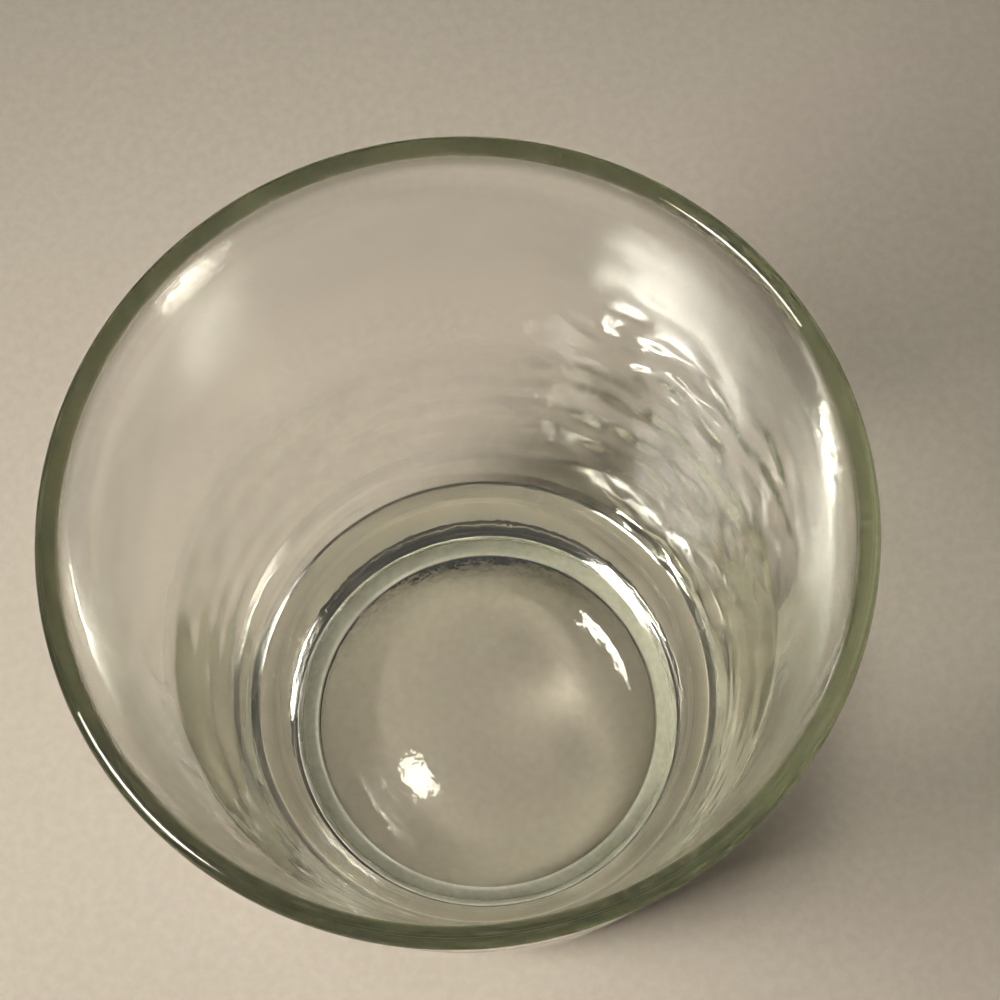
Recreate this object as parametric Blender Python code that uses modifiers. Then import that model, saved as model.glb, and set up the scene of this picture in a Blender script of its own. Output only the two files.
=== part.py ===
"""Whisky glass: a clear tumbler with a heavy base, turned from one closed profile.

Units are metres and +Z is up. The glass stands on the plane z = 0 with its axis on Z.
"""

import math

import bpy

# Driving dimensions, in metres
RIM_DIAMETER = 0.0800
HEIGHT = 0.0990
WALL = 0.0022
SETTLE_HEIGHT = 0.0570
SETTLE_RADIUS = 0.0800
CORNER_WALL = 0.0039
FLOOR_THICKNESS = 0.0152
FLOOR_DISH = 0.0008
FLOOR_POWER = 2.0
INNER_CORNER_RADIUS = 0.0087
HEEL_RADIUS = 0.0270
HEEL_SLOPE = math.radians(57.8)
FOOT_EDGE_RADIUS = 0.0003
FOOT_DIAMETER = 0.0538
BEARING_WIDTH = 0.0033
PUSH_UP_STEP = 0.00052
PUSH_UP_STEP_WIDTH = 0.00065
PUSH_UP_RISE = 0.0049
PUSH_UP_POWER = 2.74

# Facets
TURN_STEPS = 88
LIP_STEPS = 10
CORNER_STEPS = 10
SETTLE_STEPS = 3
HEEL_STEPS = 8
FOOT_EDGE_STEPS = 3
FLOOR_STEPS = 6
PUSH_UP_STEPS = 10
MERGE_DISTANCE = 0.00001

# Clear soda-lime glass with a faint green cast
GLASS_COLOUR = (0.86, 0.90, 0.83, 1.0)
GLASS_ROUGHNESS = 0.03
GLASS_INDEX = 1.52

STRAIGHT_DOWN = -0.5 * math.pi


def clear_scene():
    """Remove every object that the file starts with."""
    for thing in list(bpy.data.objects):
        bpy.data.objects.remove(thing, do_unlink=True)


def glass_material():
    """The one material of the glass."""
    material = bpy.data.materials.new("clear_glass")
    material.use_nodes = True
    shader = material.node_tree.nodes["Principled BSDF"]
    shader.inputs["Base Color"].default_value = GLASS_COLOUR
    shader.inputs["Roughness"].default_value = GLASS_ROUGHNESS
    shader.inputs["Metallic"].default_value = 0.0
    shader.inputs["IOR"].default_value = GLASS_INDEX
    shader.inputs["Transmission Weight"].default_value = 1.0
    return material


def arc(centre, radius, start, end, steps):
    """Points on an arc in the profile's plane, from the start angle to the end angle."""
    points = []
    for step in range(steps + 1):
        angle = start + (end - start) * step / steps
        across = centre[0] + radius * math.cos(angle)
        up = centre[1] + radius * math.sin(angle)
        points.append((across, up))
    return points


def dish(edge_radius, edge_level, centre_rise, power, steps):
    """Points of a dish from its edge to the axis, without the edge point.

    A power of 2 gives a round dish, and more gives a flatter middle with a steeper edge.
    """
    points = []
    for step in range(1, steps + 1):
        share = 1.0 - step / steps
        points.append((edge_radius * share, edge_level + centre_rise * (1.0 - share**power)))
    return points


def wall_angle(upper, lower, spread):
    """Angle of a wall's outward normal, where the wall touches a round at each end.

    The rounds have their centres at upper and lower, and spread is how much further the lower
    one lies inside the wall, measured along that normal.
    """
    across = upper[0] - lower[0]
    up = upper[1] - lower[1]
    length = math.hypot(across, up)
    return math.atan2(up, across) - math.acos(spread / length)


def on_wall(lip, reach, angle, level):
    """Point at a level on a wall whose normal has the given angle.

    The wall passes at the distance reach from the lip's centre, outside it where reach is positive.
    """
    drop = lip[1] + reach * math.sin(angle) - level
    return (lip[0] + reach * math.cos(angle) + drop * math.tan(angle), level)


def round_centre(knee, first, second, radius):
    """Centre of the round between two walls that meet at the knee, on the hollow side.

    The angles first and second are those of the two walls' normals.
    """
    share = radius / (1.0 + math.cos(first - second))
    across = knee[0] - share * (math.cos(first) + math.cos(second))
    up = knee[1] - share * (math.sin(first) + math.sin(second))
    return (across, up)


def tumbler_profile():
    """The glass's half section: floor, inner corner, inner wall, lip, outer wall, heel and foot.

    The wall is even from the lip down to the settle height. Below it the inside leans in, so that
    the wall thickens towards the base. The heel is a wide round that runs in to the standing ring,
    and the underside is pushed up within that ring.
    """
    lip_radius = 0.5 * WALL
    lip = (0.5 * RIM_DIAMETER - lip_radius, HEIGHT - lip_radius)
    foot_radius = 0.5 * FOOT_DIAMETER
    heel = (foot_radius - HEEL_RADIUS * math.sin(HEEL_SLOPE), HEEL_RADIUS * math.cos(HEEL_SLOPE))
    outer_angle = wall_angle(lip, heel, HEEL_RADIUS - lip_radius)

    edge_drop = heel[1] - FOOT_EDGE_RADIUS
    edge_reach = math.sqrt((HEEL_RADIUS - FOOT_EDGE_RADIUS) ** 2 - edge_drop**2)
    edge = (heel[0] + edge_reach, FOOT_EDGE_RADIUS)
    edge_angle = math.atan2(-edge_drop, edge_reach)

    corner_level = FLOOR_THICKNESS + INNER_CORNER_RADIUS
    corner_outside = on_wall(lip, lip_radius, outer_angle, corner_level)
    corner = (corner_outside[0] - CORNER_WALL - INNER_CORNER_RADIUS, corner_level)
    knee = on_wall(lip, -lip_radius, outer_angle, SETTLE_HEIGHT)
    inner_angle = wall_angle(knee, corner, INNER_CORNER_RADIUS)
    settle = round_centre(knee, inner_angle, outer_angle, SETTLE_RADIUS)

    floor = dish(corner[0], FLOOR_THICKNESS, -FLOOR_DISH, FLOOR_POWER, FLOOR_STEPS)
    floor.reverse()
    ring_inside = foot_radius - BEARING_WIDTH
    push_up_radius = ring_inside - PUSH_UP_STEP_WIDTH

    points = floor
    points += arc(corner, INNER_CORNER_RADIUS, STRAIGHT_DOWN, inner_angle, CORNER_STEPS)
    points += arc(settle, SETTLE_RADIUS, inner_angle, outer_angle, SETTLE_STEPS)
    points += arc(lip, lip_radius, outer_angle + math.pi, outer_angle, LIP_STEPS)
    points += arc(heel, HEEL_RADIUS, outer_angle, edge_angle, HEEL_STEPS)
    points += arc(edge, FOOT_EDGE_RADIUS, edge_angle, STRAIGHT_DOWN, FOOT_EDGE_STEPS)[1:]
    points.append((ring_inside, 0.0))
    points.append((push_up_radius, PUSH_UP_STEP))
    points += dish(push_up_radius, PUSH_UP_STEP, PUSH_UP_RISE, PUSH_UP_POWER, PUSH_UP_STEPS)
    return points


def turned(name, profile, material):
    """An object whose profile, in the XZ plane, is turned once round Z."""
    points = [(across, 0.0, up) for across, up in profile]
    edges = [(start, start + 1) for start in range(len(points) - 1)]
    mesh = bpy.data.meshes.new(name)
    mesh.from_pydata(points, edges, [])
    mesh.materials.append(material)
    thing = bpy.data.objects.new(name, mesh)
    screw = thing.modifiers.new("turn", "SCREW")
    screw.axis = "Z"
    screw.angle = 2.0 * math.pi
    screw.steps = TURN_STEPS
    screw.render_steps = TURN_STEPS
    screw.use_merge_vertices = True
    screw.merge_threshold = MERGE_DISTANCE
    screw.use_smooth_shade = True
    return thing


def main():
    """Model the glass in a collection of its own."""
    clear_scene()
    glass = bpy.data.collections.new("whisky_glass")
    bpy.context.scene.collection.children.link(glass)
    glass.objects.link(turned("tumbler", tumbler_profile(), glass_material()))


main()
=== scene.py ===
"""Looks of the whisky tumbler: clear glass turned in fine steps, a pale floor, a soft lamp and the camera.

Lengths are metres and angles are degrees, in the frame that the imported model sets: +Z is up and the
glass stands on z = 0 with its axis on Z.
"""

import logging
import math
import random
from dataclasses import dataclass
from enum import Enum
from typing import Any, Optional, Union

import bmesh
import bpy
from mathutils import Matrix, Vector


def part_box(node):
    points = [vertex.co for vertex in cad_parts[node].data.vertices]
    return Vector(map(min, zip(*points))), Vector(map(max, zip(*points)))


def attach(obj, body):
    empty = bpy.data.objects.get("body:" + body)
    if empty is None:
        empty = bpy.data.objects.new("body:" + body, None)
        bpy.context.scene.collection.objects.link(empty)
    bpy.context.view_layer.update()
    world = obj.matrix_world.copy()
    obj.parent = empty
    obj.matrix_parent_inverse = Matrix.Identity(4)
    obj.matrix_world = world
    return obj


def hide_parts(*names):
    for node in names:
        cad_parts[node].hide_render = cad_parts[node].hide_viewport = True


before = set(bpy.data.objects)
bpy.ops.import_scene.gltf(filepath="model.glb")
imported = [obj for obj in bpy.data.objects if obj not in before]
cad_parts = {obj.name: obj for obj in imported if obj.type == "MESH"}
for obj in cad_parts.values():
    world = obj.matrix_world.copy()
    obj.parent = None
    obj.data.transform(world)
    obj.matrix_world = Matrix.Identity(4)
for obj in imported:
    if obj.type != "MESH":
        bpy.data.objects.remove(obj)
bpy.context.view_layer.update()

LOG = logging.getLogger("whisky_glass")
NODE = "tumbler"
BODY = "root"

Triple = tuple[float, float, float]
Point = tuple[float, float]
Span = tuple[float, float]


class Side(Enum):
    """The side of the glass's wall that a wave is on."""

    INNER = "inner"
    OUTER = "outer"


class Socket:
    """An output socket whose arithmetic adds Math nodes to its tree."""

    def __init__(self, graph: "Graph", socket: bpy.types.NodeSocket) -> None:
        """Wrap one socket.

        Args:
            graph: The tree that the socket belongs to.
            socket: The output socket itself.
        """
        self.graph = graph
        self.socket = socket

    def _math(self, operation: str, first: Any, second: Any) -> "Socket":
        """Join two values by one Math node.

        Args:
            operation: The Math node's operation.
            first: A socket or a number.
            second: A socket or a number.

        Returns:
            The node's value.
        """
        node = self.graph.node("ShaderNodeMath", {"operation": operation}, {0: first, 1: second})
        return self.graph.out(node)

    def __add__(self, other: Any) -> "Socket":
        """This value plus another."""
        return self._math("ADD", self, other)

    def __radd__(self, other: Any) -> "Socket":
        """Another value plus this one."""
        return self._math("ADD", other, self)

    def __sub__(self, other: Any) -> "Socket":
        """This value less another."""
        return self._math("SUBTRACT", self, other)

    def __rsub__(self, other: Any) -> "Socket":
        """Another value less this one."""
        return self._math("SUBTRACT", other, self)

    def __mul__(self, other: Any) -> "Socket":
        """This value times another."""
        return self._math("MULTIPLY", self, other)

    def __rmul__(self, other: Any) -> "Socket":
        """Another value times this one."""
        return self._math("MULTIPLY", other, self)

    def __lt__(self, other: Any) -> "Socket":
        """One where this value is less than another, and nought elsewhere."""
        return self._math("LESS_THAN", self, other)


class Graph:
    """A node tree that is filled node by node."""

    def __init__(self, tree: bpy.types.NodeTree) -> None:
        """Take over a tree and empty it."""
        self.tree = tree
        tree.nodes.clear()

    def node(
        self,
        kind: str,
        settings: Optional[dict[str, Any]] = None,
        sockets: Optional[dict[Union[str, int], Any]] = None,
    ) -> bpy.types.Node:
        """Add a node.

        Args:
            kind: The node's type.
            settings: Its own properties, set first.
            sockets: A value or a Socket for each input that isn't left alone.

        Returns:
            The new node.
        """
        node = self.tree.nodes.new(kind)
        for name, value in (settings or {}).items():
            setattr(node, name, value)
        for name, value in (sockets or {}).items():
            if isinstance(value, Socket):
                self.tree.links.new(value.socket, node.inputs[name])
            else:
                node.inputs[name].default_value = value
        return node

    def out(self, node: bpy.types.Node, name: Union[str, int] = 0) -> Socket:
        """A node's output as a Socket."""
        return Socket(self, node.outputs[name])

    def place(self) -> Socket:
        """Where a point lies on its object, in metres."""
        return self.out(self.node("ShaderNodeTexCoord"), "Object")

    def axes(self, place: Socket) -> tuple[Socket, Socket, Socket]:
        """A place taken apart into across, along and up."""
        node = self.node("ShaderNodeSeparateXYZ", sockets={0: place})
        return self.out(node, "X"), self.out(node, "Y"), self.out(node, "Z")

    def noise(self, place: Socket, grain: float, depth: float = 2.0) -> Socket:
        """A cloudy value from 0 to 1.

        Args:
            place: Where it is read.
            grain: The size of its spots, in metres.
            depth: How many finer layers it has.

        Returns:
            The value.
        """
        node = self.node(
            "ShaderNodeTexNoise", sockets={"Vector": place, "Scale": 1.0 / grain, "Detail": depth}
        )
        return self.out(node, "Fac")

    def rise(self, value: Socket, span: Span) -> Socket:
        """A value that climbs from 0 at the span's start to 1 at its end, and is level outside it."""
        node = self.node(
            "ShaderNodeMapRange",
            sockets={"Value": value, "From Min": span[0], "From Max": span[1]},
        )
        return self.out(node)

    def stretched(self, place: Socket, factors: Triple) -> Socket:
        """A place scaled along each axis."""
        node = self.node("ShaderNodeVectorMath", {"operation": "MULTIPLY"}, {0: place, 1: factors})
        return self.out(node)


@dataclass(frozen=True)
class ClearGlass:
    """Clear soda-lime glass with a faint olive cast that deepens along its thickness.

    The mould leaves a soft orange peel under the base, a stipple on the foot ring and chill marks on
    one side, and drawn streaks run up the walls. The foot ring is scuffed where it slides, faint smears
    dull the polish, and a thin dried film is left on the walls below the rim. The lip's colour is darkened
    as painted shade.
    """

    index: float = 1.52
    tint: Triple = (0.60, 0.63, 0.44)
    density: float = 15.0
    polish: float = 0.002
    smear: float = 0.03
    smear_grain: float = 0.016
    smear_depth: float = 3.0
    smear_span: Span = (0.55, 0.8)
    film: float = 0.17
    film_start: Span = (0.064, 0.078)
    film_end: Span = (0.084, 0.093)
    scuff: float = 0.22
    scuff_grain: float = 0.0012
    scuff_span: Span = (0.42, 0.6)
    frost: Triple = (0.98, 0.96, 0.92)
    stipple: float = 0.9
    stipple_wear: float = 0.1
    wear_grain: float = 0.0011
    wear_span: Span = (0.35, 0.65)
    ring_level: float = 0.0001
    peel_grain: float = 0.0016
    peel_reach: float = 0.006
    peel_radius: float = 0.0229
    peel_relief: float = 0.00005
    streak_grain: float = 0.0022
    streak_stretch: float = 0.06
    streak_relief: float = 0.000004
    chill_grain: float = 0.0045
    chill_relief: float = 0.00034
    chill_across: Span = (0.010, 0.024)
    chill_along: Span = (-0.004, 0.008)
    chill_start: Span = (0.014, 0.030)
    chill_end: Span = (0.072, 0.086)
    # Painted shade: the lip's colour is darker than the glass so that the rim reads as shaded.
    lip: Triple = (0.36, 0.36, 0.31)
    lip_shade_span: Span = (0.0955, 0.0975)

    def material(self) -> bpy.types.Material:
        """Make the glass.

        Returns:
            The finished material.
        """
        material = bpy.data.materials.new("clear_glass")
        material.use_nodes = True
        graph = Graph(material.node_tree)
        place = graph.place()
        _, _, level = graph.axes(place)
        on_ring = level < self.ring_level
        clear = graph.node(
            "ShaderNodeBsdfPrincipled",
            sockets={
                # This colour carries the painted shade at the lip.
                "Base Color": self._tone_with_painted_lip_shade(graph, level),
                "IOR": self.index,
                "Transmission Weight": 1.0,
                "Roughness": self._roughness(graph, place, level, on_ring),
                "Normal": self._relief(graph, place),
            },
        )
        frost = graph.node(
            "ShaderNodeBsdfPrincipled",
            sockets={"Base Color": (*self.frost, 1.0), "IOR": self.index, "Roughness": 1.0},
        )
        worn = graph.rise(graph.noise(place, self.wear_grain), self.wear_span)
        stippled = (self.stipple + self.stipple_wear * worn) * on_ring
        shader = graph.node(
            "ShaderNodeMixShader",
            sockets={0: stippled, 1: graph.out(clear), 2: graph.out(frost)},
        )
        absorb = graph.node(
            "ShaderNodeVolumeAbsorption",
            sockets={"Color": (*self.tint, 1.0), "Density": self.density},
        )
        graph.node(
            "ShaderNodeOutputMaterial",
            sockets={"Surface": graph.out(shader), "Volume": graph.out(absorb)},
        )
        return material

    def _tone_with_painted_lip_shade(self, graph: Graph, level: Socket) -> Socket:
        """White, and darker at the lip, where painted shade stands in for the dark rim.

        Args:
            graph: The material's tree.
            level: A point's height.

        Returns:
            The colour.
        """
        # Painted shade: the mix darkens the colour over the lip.
        mix = graph.node(
            "ShaderNodeMix",
            {"data_type": "RGBA"},
            {0: graph.rise(level, self.lip_shade_span), 6: (1.0, 1.0, 1.0, 1.0), 7: (*self.lip, 1.0)},
        )
        return graph.out(mix, 2)

    def _chilled(self, graph: Graph, across: Socket, along: Socket, level: Socket) -> Socket:
        """Where the chill marks are: on the walls of one side, fading out at their foot and below the rim.

        Args:
            graph: The material's tree.
            across: How far along X a point lies.
            along: How far along Y it lies.
            level: Its height.

        Returns:
            One among the marks, and nought elsewhere.
        """
        side = graph.rise(across, self.chill_across) * graph.rise(along, self.chill_along)
        return side * graph.rise(level, self.chill_start) * (1.0 - graph.rise(level, self.chill_end))

    def _roughness(self, graph: Graph, place: Socket, level: Socket, on_ring: Socket) -> Socket:
        """The polish, dulled by smears, by a film below the rim and by scuffs on the foot ring.

        Args:
            graph: The material's tree.
            place: Where a point lies.
            level: Its height.
            on_ring: One on the foot ring, and nought elsewhere.

        Returns:
            The roughness.
        """
        smears = graph.rise(graph.noise(place, self.smear_grain, self.smear_depth), self.smear_span)
        scuffs = graph.rise(graph.noise(place, self.scuff_grain), self.scuff_span)
        filmed = graph.rise(level, self.film_start) * (1.0 - graph.rise(level, self.film_end))
        clean = self.polish + self.smear * smears * smears + self.scuff * scuffs * on_ring
        return clean + self.film * filmed

    def _relief(self, graph: Graph, place: Socket) -> Socket:
        """Orange peel in the push-up, drawn streaks on the walls and chill marks, as a bumped normal.

        Args:
            graph: The material's tree.
            place: Where a point lies.

        Returns:
            The normal.
        """
        across, along, level = graph.axes(place)
        peel = graph.noise(place, self.peel_grain)
        streaks = graph.noise(graph.stretched(place, (1.0, 1.0, self.streak_stretch)), self.streak_grain)
        marks = graph.noise(place, self.chill_grain, 0.0)
        low = level < self.peel_reach
        under = low * (across * across + along * along < self.peel_radius * self.peel_radius)
        height = self.peel_relief * peel * under + self.streak_relief * streaks * (1.0 - low)
        height = height + self.chill_relief * self._chilled(graph, across, along, level) * marks
        bump = graph.node("ShaderNodeBump", sockets={"Height": height, "Distance": 1.0})
        return graph.out(bump)


@dataclass(frozen=True)
class PaleFloor:
    """A plain matt floor of a warm pale grey with a fine soft grain."""

    colour: Triple = (0.58, 0.53, 0.45)
    shade: Triple = (0.54, 0.49, 0.415)
    grain: float = 0.0014
    grain_depth: float = 3.0
    grain_span: Span = (0.35, 0.65)
    roughness: float = 0.95
    sheen: float = 0.1

    def material(self) -> bpy.types.Material:
        """Make the floor's material.

        Returns:
            The finished material.
        """
        material = bpy.data.materials.new("pale_floor")
        material.use_nodes = True
        graph = Graph(material.node_tree)
        fleck = graph.rise(graph.noise(graph.place(), self.grain, self.grain_depth), self.grain_span)
        mix = graph.node(
            "ShaderNodeMix",
            {"data_type": "RGBA"},
            {0: fleck, 6: (*self.shade, 1.0), 7: (*self.colour, 1.0)},
        )
        shader = graph.node(
            "ShaderNodeBsdfPrincipled",
            sockets={
                "Base Color": graph.out(mix, 2),
                "Roughness": self.roughness,
                "Specular IOR Level": self.sheen,
            },
        )
        graph.node("ShaderNodeOutputMaterial", sockets={"Surface": graph.out(shader)})
        return material


@dataclass(frozen=True)
class Ripple:
    """One long low wave that the mould and the blowing leave on a wall."""

    round_count: int
    per_metre: float
    phase: float

    def height(self, angle: float, level: float) -> float:
        """How far the wave stands out at a place, from -1 to 1."""
        return math.sin(self.round_count * angle + self.per_metre * level + self.phase)


@dataclass(frozen=True)
class RippleBand:
    """The waves of one wall between two heights, fading out at both."""

    side: Side
    waves: int
    counts: tuple[int, int]
    leans: Span
    swing: float
    low: float
    high: float
    fade: float

    def draw(self, chance: random.Random) -> list[Ripple]:
        """Draw the band's waves.

        Args:
            chance: Where the chances come from.

        Returns:
            The waves.
        """
        drawn = []
        for _ in range(self.waves):
            lean = chance.choice((-1.0, 1.0)) * chance.uniform(*self.leans)
            drawn.append(Ripple(chance.randint(*self.counts), lean, chance.uniform(0.0, math.tau)))
        return drawn

    def height(self, ripples: list[Ripple], angle: float, level: float) -> float:
        """How far the wall stands out at a place.

        Args:
            ripples: The band's waves.
            angle: The place's angle round the axis.
            level: Its height.

        Returns:
            The height of all the waves together.
        """
        inset = min(level - self.low, self.high - level) / self.fade
        if inset <= 0.0:
            return 0.0
        return min(inset, 1.0) * self.swing * sum(ripple.height(angle, level) for ripple in ripples)


@dataclass(frozen=True)
class Steps:
    """How many chords each stretch of the section has, and how many the turn has."""

    floor: int = 14
    corner: int = 28
    lower_wall: int = 24
    settle: int = 6
    upper_wall: int = 30
    lip: int = 20
    outer_wall: int = 60
    heel: int = 36
    edge: int = 6
    ring: int = 4
    push_up: int = 30
    turn: int = 288


@dataclass
class Tumbler:
    """The glass itself, turned from one section that follows the frame's height and rim."""

    rim_radius: float
    height: float
    wall: float = 0.0022
    settle_height: float = 0.0570
    settle_radius: float = 0.0800
    corner_wall: float = 0.0039
    floor_thickness: float = 0.0152
    floor_dish: float = 0.0008
    floor_power: float = 2.0
    corner_radius: float = 0.0087
    heel_radius: float = 0.0270
    heel_slope: float = 57.8
    edge_radius: float = 0.0003
    foot_radius: float = 0.0269
    bearing_width: float = 0.0033
    step_height: float = 0.00052
    step_width: float = 0.00065
    push_up_rise: float = 0.0049
    push_up_power: float = 2.74
    steps: Steps = Steps()
    edge_crowding: float = 1.5
    sharp_angle: float = 40.0
    calm_share: float = 0.5
    bands: tuple[RippleBand, ...] = (
        RippleBand(Side.OUTER, 14, (10, 30), (250.0, 700.0), 0.0000015, 0.008, 0.094, 0.010),
        RippleBand(Side.INNER, 14, (10, 30), (250.0, 700.0), 0.0000015, 0.020, 0.094, 0.010),
        RippleBand(Side.INNER, 8, (0, 4), (700.0, 1500.0), 0.0000045, 0.014, 0.060, 0.015),
    )
    seed: int = 5

    @staticmethod
    def arc(centre: Point, radius: float, start: float, end: float, steps: int) -> list[Point]:
        """Points on an arc of the section.

        Args:
            centre: The arc's centre, across and up.
            radius: Its radius.
            start: Its first angle, in radians.
            end: Its last angle, in radians.
            steps: How many chords it has.

        Returns:
            The points, both ends included.
        """
        angles = [start + (end - start) * step / steps for step in range(steps + 1)]
        return [(centre[0] + radius * math.cos(a), centre[1] + radius * math.sin(a)) for a in angles]

    def dish(self, radius: float, level: float, rise: float, power: float, steps: int) -> list[Point]:
        """Points of a dish from its edge in to the axis, closer together near the edge.

        Args:
            radius: The edge's radius.
            level: The edge's height.
            rise: How much higher the middle is.
            power: How flat the middle is: 2 is round, more is flatter with a steeper edge.
            steps: How many chords it has.

        Returns:
            The points without the edge.
        """
        shares = [1.0 - (step / steps) ** self.edge_crowding for step in range(1, steps + 1)]
        return [(radius * share, level + rise * (1.0 - share**power)) for share in shares]

    @staticmethod
    def straight(start: Point, end: Point, steps: int) -> list[Point]:
        """Points between two ends, without the ends."""
        shares = [step / steps for step in range(1, steps)]
        return [(start[0] + (end[0] - start[0]) * s, start[1] + (end[1] - start[1]) * s) for s in shares]

    @staticmethod
    def wall_angle(upper: Point, lower: Point, spread: float) -> float:
        """Angle of a wall's outward normal, where the wall touches a round at each end.

        Args:
            upper: The upper round's centre.
            lower: The lower round's centre.
            spread: How much further the lower one lies inside the wall, along that normal.

        Returns:
            The angle in radians.
        """
        across, up = upper[0] - lower[0], upper[1] - lower[1]
        return math.atan2(up, across) - math.acos(spread / math.hypot(across, up))

    @staticmethod
    def on_wall(lip: Point, reach: float, angle: float, level: float) -> Point:
        """A place on a wall.

        Args:
            lip: The lip's centre.
            reach: How far outside that centre the wall passes.
            angle: The wall's normal, in radians.
            level: The height that is asked for.

        Returns:
            The point at that height.
        """
        drop = lip[1] + reach * math.sin(angle) - level
        return (lip[0] + reach * math.cos(angle) + drop * math.tan(angle), level)

    @staticmethod
    def round_centre(knee: Point, first: float, second: float, radius: float) -> Point:
        """Centre of the round between two walls.

        Args:
            knee: Where the walls would meet.
            first: The first wall's normal, in radians.
            second: The second wall's normal, in radians.
            radius: The round's radius.

        Returns:
            The centre, on the hollow side.
        """
        share = radius / (1.0 + math.cos(first - second))
        across = knee[0] - share * (math.cos(first) + math.cos(second))
        return (across, knee[1] - share * (math.sin(first) + math.sin(second)))

    def section(self) -> list[Point]:
        """The half section from the floor's middle, over the rim, to the push-up's middle.

        Returns:
            Points across and up, both ends on the axis.
        """
        steps = self.steps
        down = -0.5 * math.pi
        lip_radius = 0.5 * self.wall
        lip = (self.rim_radius - lip_radius, self.height - lip_radius)
        slope = math.radians(self.heel_slope)
        heel = (
            self.foot_radius - self.heel_radius * math.sin(slope),
            self.heel_radius * math.cos(slope),
        )
        outer = self.wall_angle(lip, heel, self.heel_radius - lip_radius)
        reach = self.heel_radius - self.edge_radius
        edge_drop = heel[1] - self.edge_radius
        edge = (heel[0] + math.sqrt(reach * reach - edge_drop * edge_drop), self.edge_radius)
        edge_angle = math.atan2(-edge_drop, edge[0] - heel[0])
        corner_level = self.floor_thickness + self.corner_radius
        corner_outside = self.on_wall(lip, lip_radius, outer, corner_level)
        corner = (corner_outside[0] - self.corner_wall - self.corner_radius, corner_level)
        knee = self.on_wall(lip, -lip_radius, outer, self.settle_height)
        inner = self.wall_angle(knee, corner, self.corner_radius)
        settle = self.round_centre(knee, inner, outer, self.settle_radius)
        floor = self.dish(corner[0], self.floor_thickness, -self.floor_dish, self.floor_power, steps.floor)
        floor.reverse()
        corner_arc = self.arc(corner, self.corner_radius, down, inner, steps.corner)
        settle_arc = self.arc(settle, self.settle_radius, inner, outer, steps.settle)
        lip_arc = self.arc(lip, lip_radius, outer + math.pi, outer, steps.lip)
        heel_arc = self.arc(heel, self.heel_radius, outer, edge_angle, steps.heel)
        edge_arc = self.arc(edge, self.edge_radius, edge_angle, down, steps.edge)[1:]
        ring_inside = (self.foot_radius - self.bearing_width, 0.0)
        step_inside = (ring_inside[0] - self.step_width, self.step_height)
        points = floor + corner_arc
        points += self.straight(corner_arc[-1], settle_arc[0], steps.lower_wall) + settle_arc
        points += self.straight(settle_arc[-1], lip_arc[0], steps.upper_wall) + lip_arc
        points += self.straight(lip_arc[-1], heel_arc[0], steps.outer_wall) + heel_arc + edge_arc
        points += self.straight(edge_arc[-1], ring_inside, steps.ring)
        points += [ring_inside, step_inside]
        points += self.dish(*step_inside, self.push_up_rise, self.push_up_power, steps.push_up)
        return points

    def build(self) -> bpy.types.Object:
        """Turn the section into a closed mesh and give its walls their ripples.

        Returns:
            The glass, in place.
        """
        mesh = bpy.data.meshes.new("tumbler_glass")
        body = bmesh.new()
        self.turn(body)
        self.ripple(body)
        body.to_mesh(mesh)
        body.free()
        mesh.shade_smooth()
        mesh.set_sharp_from_angle(angle=math.radians(self.sharp_angle))
        glass = bpy.data.objects.new("tumbler_glass", mesh)
        bpy.context.scene.collection.objects.link(glass)
        return glass

    def turn(self, body: bmesh.types.BMesh) -> None:
        """Turn the section once round Z, with its points and faces in the same order each time.

        Args:
            body: The empty mesh that takes them.
        """
        section = self.section()
        angles = [math.tau * step / self.steps.turn for step in range(self.steps.turn)]
        ways = [(math.cos(angle), math.sin(angle)) for angle in angles]
        top, bottom = [body.verts.new((0.0, 0.0, up)) for _, up in (section[0], section[-1])]
        rings = [
            [body.verts.new((across * x, across * y, up)) for x, y in ways] for across, up in section[1:-1]
        ]
        for step in range(self.steps.turn):
            body.faces.new((top, rings[0][step - 1], rings[0][step]))
            for near, far in zip(rings, rings[1:]):
                body.faces.new((near[step - 1], far[step - 1], far[step], near[step]))
            body.faces.new((rings[-1][step - 1], bottom, rings[-1][step]))

    def ripple(self, body: bmesh.types.BMesh) -> None:
        """Move the walls' points along their normals, and leave the middle of the base calm.

        Args:
            body: The turned mesh.
        """
        body.normal_update()
        chance = random.Random(self.seed)
        drawn = [(band, band.draw(chance)) for band in self.bands]
        for vert in body.verts:
            x, y, level = vert.co
            if math.hypot(x, y) < self.calm_share * self.foot_radius:
                continue
            angle = math.atan2(y, x)
            side = Side.INNER if vert.normal.x * x + vert.normal.y * y < 0.0 else Side.OUTER
            heights = [band.height(waves, angle, level) for band, waves in drawn if band.side is side]
            vert.co += vert.normal * sum(heights)

    def dress(self, glass: bpy.types.Object, finish: ClearGlass) -> None:
        """Give the glass its finish and its place in the frame.

        Args:
            glass: The built glass.
            finish: What it is made of.
        """
        glass.data.materials.append(finish.material())
        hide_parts(NODE)
        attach(glass, BODY)


@dataclass
class Stage:
    """The floor that the glass stands on."""

    side: float = 3.0
    gap: float = 0.00005

    def build(self, finish: PaleFloor) -> bpy.types.Object:
        """Lay the floor.

        Args:
            finish: Its finish.

        Returns:
            The floor.
        """
        mesh = bpy.data.meshes.new("floor")
        body = bmesh.new()
        bmesh.ops.create_grid(body, x_segments=1, y_segments=1, size=0.5 * self.side)
        body.to_mesh(mesh)
        body.free()
        floor = bpy.data.objects.new("floor", mesh)
        floor.location.z = -self.gap
        bpy.context.scene.collection.objects.link(floor)
        mesh.materials.append(finish.material())
        return floor


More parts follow.
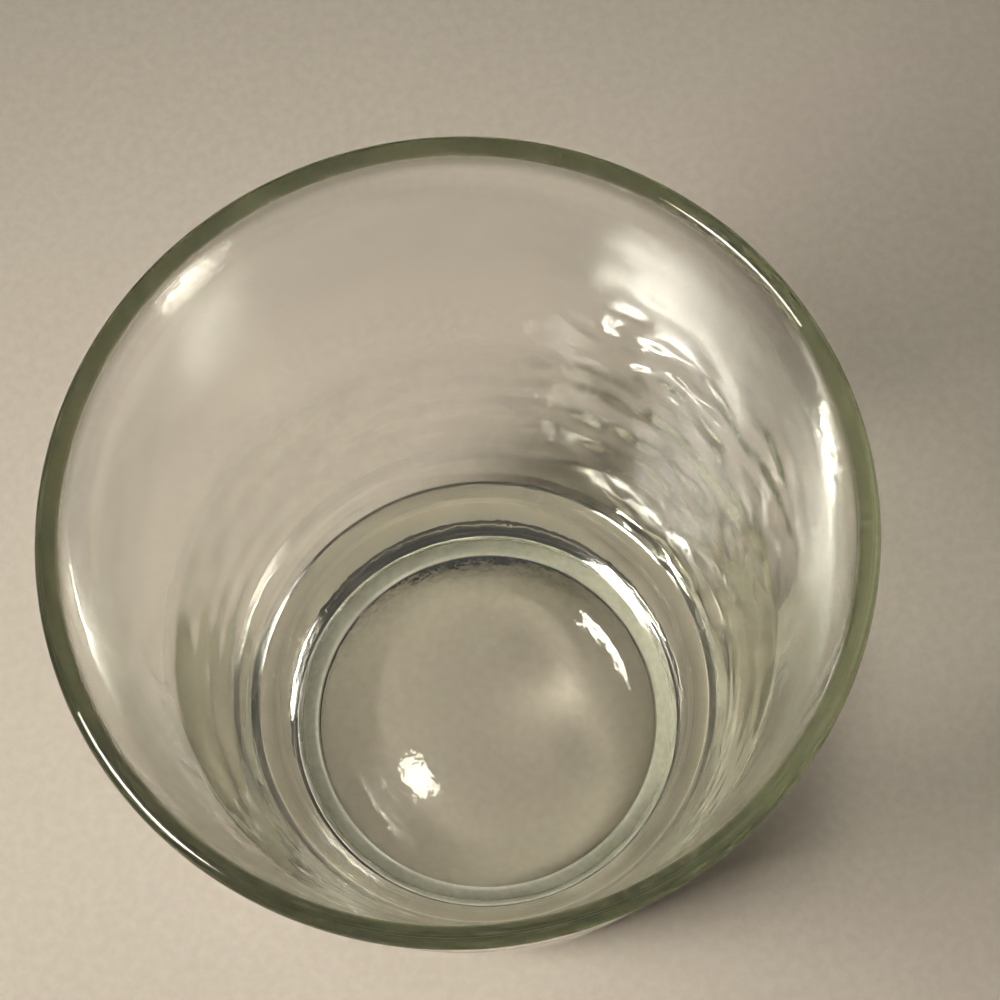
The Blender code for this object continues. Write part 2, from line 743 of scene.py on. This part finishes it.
@dataclass
class Lamp:
    """A soft box that hangs round a centre and faces a point near it."""

    name: str = "key"
    azimuth: float = 194.0
    elevation: float = 48.5
    distance: float = 0.42
    width: float = 0.15
    height: float = 0.15
    power: float = 0.35
    spread: float = 70.0
    colour: Triple = (1.0, 0.95, 0.87)
    offset: Triple = (-0.016, 0.014, -0.01)

    def hang(self, centre: Vector) -> bpy.types.Object:
        """Hang the lamp.

        Args:
            centre: The point that it hangs round.

        Returns:
            The lamp.
        """
        light = bpy.data.lights.new(self.name, "AREA")
        light.shape = "RECTANGLE"
        light.size = self.width
        light.size_y = self.height
        light.energy = self.power
        light.spread = math.radians(self.spread)
        light.color = self.colour
        lamp = bpy.data.objects.new(self.name, light)
        azimuth, elevation = math.radians(self.azimuth), math.radians(self.elevation)
        way = Vector((
            math.cos(azimuth) * math.cos(elevation),
            math.sin(azimuth) * math.cos(elevation),
            math.sin(elevation),
        ))
        lamp.location = centre + way * self.distance
        back = lamp.location - centre - Vector(self.offset)
        lamp.rotation_euler = back.to_track_quat("Z", "Y").to_euler()
        bpy.context.scene.collection.objects.link(lamp)
        return lamp


@dataclass
class Studio:
    """The lamp and the even light all round."""

    key: Lamp
    sky: Triple = (1.0, 0.97, 0.92)
    sky_strength: float = 0.07
    lamp_share: float = 0.3
    bounces: int = 64

    def build(self, height: float) -> None:
        """Hang the lamp, set the world and let light pass the glass unblurred.

        Args:
            height: The glass's height, of which the lamp's centre is a share.
        """
        self.key.hang(Vector((0.0, 0.0, self.lamp_share * height)))
        LOG.info("lamp %s: %.2f W", self.key.name, self.key.power)
        world = bpy.data.worlds.new("studio")
        world.use_nodes = True
        graph = Graph(world.node_tree)
        sky = graph.node(
            "ShaderNodeBackground",
            sockets={"Color": (*self.sky, 1.0), "Strength": self.sky_strength},
        )
        graph.node("ShaderNodeOutputWorld", sockets={"Surface": graph.out(sky)})
        scene = bpy.context.scene
        scene.world = world
        scene.cycles.blur_glossy = 0.0
        scene.cycles.sample_clamp_indirect = 0.0
        scene.cycles.max_bounces = self.bounces
        scene.cycles.glossy_bounces = self.bounces
        scene.cycles.transmission_bounces = self.bounces


@dataclass
class PhotoCamera:
    """The camera where the photograph was taken from."""

    place: Triple = (0.0, -0.06576, 0.31510)
    aim: Triple = (0.00445, 0.00154, 0.09790)
    roll: float = -5.43
    focal_pixels: float = 2400.0
    image_pixels: float = 1000.0
    sensor_mm: float = 36.0
    clip_start: float = 0.005

    def build(self) -> bpy.types.Object:
        """Set up the camera.

        Returns:
            The camera.
        """
        data = bpy.data.cameras.new("photo_camera")
        data.sensor_fit = "HORIZONTAL"
        data.sensor_width = self.sensor_mm
        data.lens = self.sensor_mm * self.focal_pixels / self.image_pixels
        data.clip_start = self.clip_start
        camera = bpy.data.objects.new("photo_camera", data)
        place = Vector(self.place)
        turn = (Vector(self.aim) - place).to_track_quat("-Z", "Y").to_matrix()
        turn = turn @ Matrix.Rotation(math.radians(self.roll), 3, "Z")
        camera.matrix_world = Matrix.Translation(place) @ turn.to_4x4()
        bpy.context.scene.collection.objects.link(camera)
        bpy.context.scene.camera = camera
        return camera


def main() -> None:
    """Build the camera, the glass, the floor and the light."""
    logging.basicConfig(level=logging.INFO, format="%(name)s: %(message)s")
    bpy.context.scene.view_settings.view_transform = "Standard"
    PhotoCamera().build()
    _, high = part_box(NODE)
    tumbler = Tumbler(rim_radius=high.x, height=high.z)
    glass = tumbler.build()
    tumbler.dress(glass, ClearGlass())
    LOG.info("piece %s: %d faces", glass.name, len(glass.data.polygons))
    floor = Stage().build(PaleFloor())
    LOG.info("stage %s", floor.name)
    Studio(Lamp()).build(high.z)


if __name__ == "__main__":
    main()
